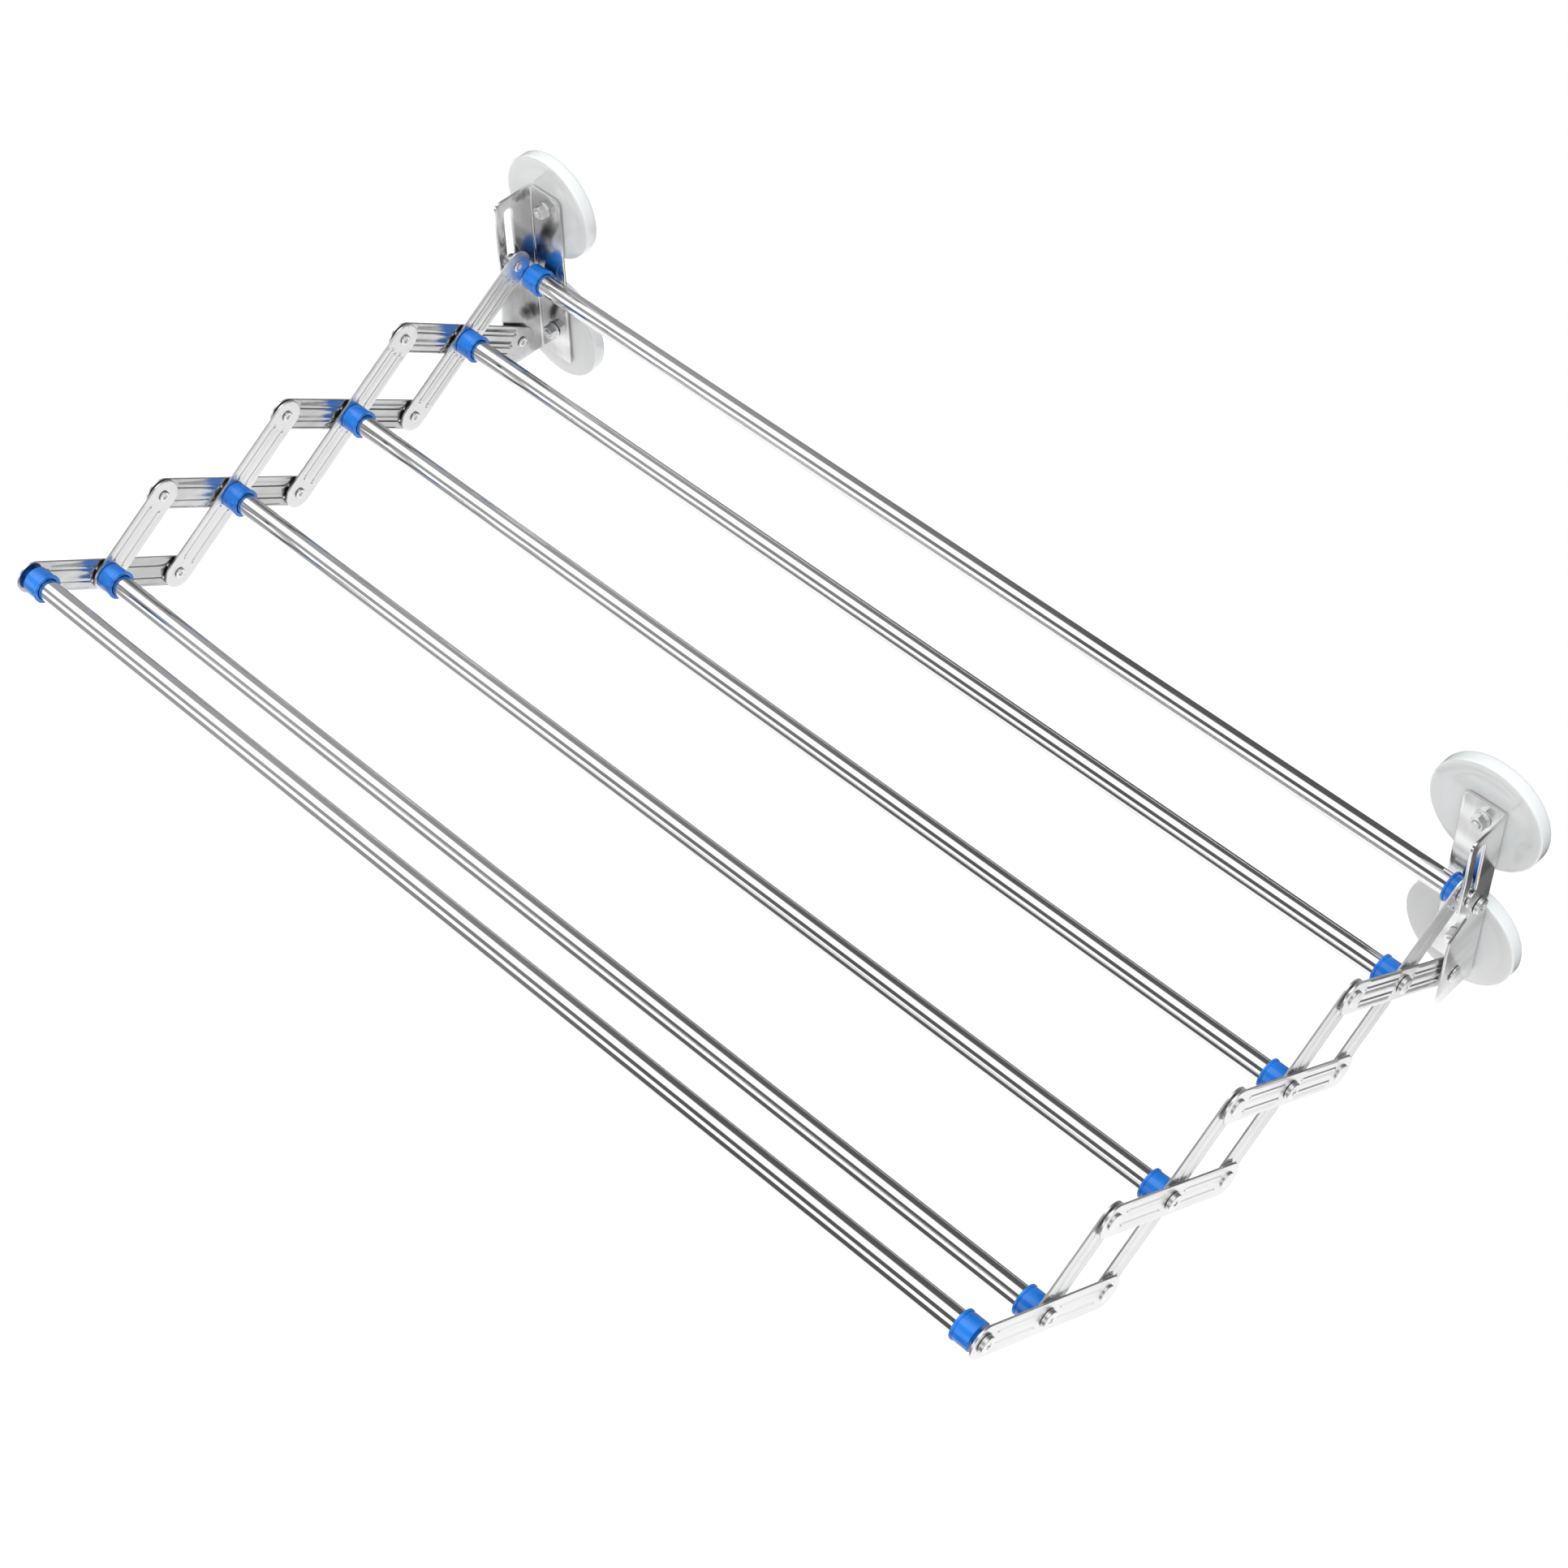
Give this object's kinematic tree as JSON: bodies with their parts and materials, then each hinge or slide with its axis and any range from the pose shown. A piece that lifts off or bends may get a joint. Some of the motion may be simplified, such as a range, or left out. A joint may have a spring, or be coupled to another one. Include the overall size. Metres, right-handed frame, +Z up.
{
  "type": "wall mounted extending drying rack",
  "caption": "Wall mounted laundry rack whose steel rails ride on scissor side frames that pull out from, and push back to, a pair of wall brackets.",
  "frame": {"origin": "on the wall plane, midway between the two brackets and midway between the upper and lower wall pads", "axes": "+X along the rails to the right as seen from the room, +Y into the wall, +Z up"},
  "size_m": [0.7724, 0.4108, 0.166],
  "materials": {
    "bracket_steel": "bright rolled stainless sheet with faint grain",
    "link_steel": "pressed stainless strip, satin",
    "rail_steel": "polished stainless tube",
    "zinc_steel": "bright zinc plate",
    "blue_plastic": "glossy moulded plastic, solid blue",
    "milky_plastic": "milky translucent moulded plastic, glossy"
  },
  "bodies": {
    "wall_frame": {"bracket_left": "bracket_steel", "bracket_right": "bracket_steel", "pad_left_lower": "milky_plastic", "pad_left_upper": "milky_plastic", "pad_right_lower": "milky_plastic", "pad_right_upper": "milky_plastic", "nut_left_lower": "zinc_steel", "nut_left_upper": "zinc_steel", "nut_right_lower": "zinc_steel", "nut_right_upper": "zinc_steel", "rail_1": "rail_steel", "cap_1_left": "blue_plastic", "cap_1_right": "blue_plastic", "screw_1_left": "zinc_steel", "screw_1_right": "zinc_steel", "pivot_rivet_left": "zinc_steel", "pivot_rivet_right": "zinc_steel"},
    "outer_pair_1": {"outer_link_1_left": "link_steel", "outer_link_1_right": "link_steel"},
    "inner_pair_1": {"inner_link_1_left": "link_steel", "inner_link_1_right": "link_steel", "rail_2": "rail_steel", "cap_2_left": "blue_plastic", "cap_2_right": "blue_plastic", "screw_2_left": "zinc_steel", "screw_2_right": "zinc_steel", "slide_rivet_left": "zinc_steel", "slide_rivet_right": "zinc_steel"},
    "outer_pair_2": {"outer_link_2_left": "link_steel", "outer_link_2_right": "link_steel"},
    "inner_pair_2": {"inner_link_2_left": "link_steel", "inner_link_2_right": "link_steel", "rail_3": "rail_steel", "cap_3_left": "blue_plastic", "cap_3_right": "blue_plastic", "screw_3_left": "zinc_steel", "screw_3_right": "zinc_steel"},
    "outer_pair_3": {"outer_link_3_left": "link_steel", "outer_link_3_right": "link_steel"},
    "inner_pair_3": {"inner_link_3_left": "link_steel", "inner_link_3_right": "link_steel", "rail_4": "rail_steel", "cap_4_left": "blue_plastic", "cap_4_right": "blue_plastic", "screw_4_left": "zinc_steel", "screw_4_right": "zinc_steel"},
    "outer_pair_4": {"outer_link_4_left": "link_steel", "outer_link_4_right": "link_steel", "rail_6": "rail_steel", "cap_6_left": "blue_plastic", "cap_6_right": "blue_plastic", "screw_6_left": "zinc_steel", "screw_6_right": "zinc_steel"},
    "inner_pair_4": {"inner_link_4_left": "link_steel", "inner_link_4_right": "link_steel", "rail_5": "rail_steel", "cap_5_left": "blue_plastic", "cap_5_right": "blue_plastic", "screw_5_left": "zinc_steel", "screw_5_right": "zinc_steel"}
  },
  "joints": [
    {"name": "push_back", "type": "hinge", "parent": "wall_frame", "child": "outer_pair_1", "pos_m": [0, -0.0299, -0.0513], "axis": [-1, 0, 0], "range_deg": [0, 30.9]},
    {"name": "crossing_1", "type": "hinge", "parent": "outer_pair_1", "child": "inner_pair_1", "pos_m": [0, -0.07627, -0.01991], "axis": [1, 0, 0], "range_deg": [0, 61.8]},
    {"name": "lower_tip_1", "type": "hinge", "parent": "inner_pair_1", "child": "outer_pair_2", "pos_m": [0, -0.12264, -0.0513], "axis": [-1, 0, 0], "range_deg": [0, 61.8]},
    {"name": "crossing_2", "type": "hinge", "parent": "outer_pair_2", "child": "inner_pair_2", "pos_m": [0, -0.16901, -0.01991], "axis": [1, 0, 0], "range_deg": [0, 61.8]},
    {"name": "lower_tip_2", "type": "hinge", "parent": "inner_pair_2", "child": "outer_pair_3", "pos_m": [0, -0.21539, -0.0513], "axis": [-1, 0, 0], "range_deg": [0, 61.8]},
    {"name": "crossing_3", "type": "hinge", "parent": "outer_pair_3", "child": "inner_pair_3", "pos_m": [0, -0.26176, -0.01991], "axis": [1, 0, 0], "range_deg": [0, 61.8]},
    {"name": "lower_tip_3", "type": "hinge", "parent": "inner_pair_3", "child": "outer_pair_4", "pos_m": [0, -0.30813, -0.0513], "axis": [-1, 0, 0], "range_deg": [0, 61.8]},
    {"name": "crossing_4", "type": "hinge", "parent": "outer_pair_4", "child": "inner_pair_4", "pos_m": [0, -0.3545, -0.01991], "axis": [1, 0, 0], "range_deg": [0, 61.8]}
  ],
  "couplings": [
    {"joint": "crossing_1", "follows": "push_back", "ratio": 2},
    {"joint": "lower_tip_1", "follows": "push_back", "ratio": 2},
    {"joint": "crossing_2", "follows": "push_back", "ratio": 2},
    {"joint": "lower_tip_2", "follows": "push_back", "ratio": 2},
    {"joint": "crossing_3", "follows": "push_back", "ratio": 2},
    {"joint": "lower_tip_3", "follows": "push_back", "ratio": 2},
    {"joint": "crossing_4", "follows": "push_back", "ratio": 2}
  ]
}
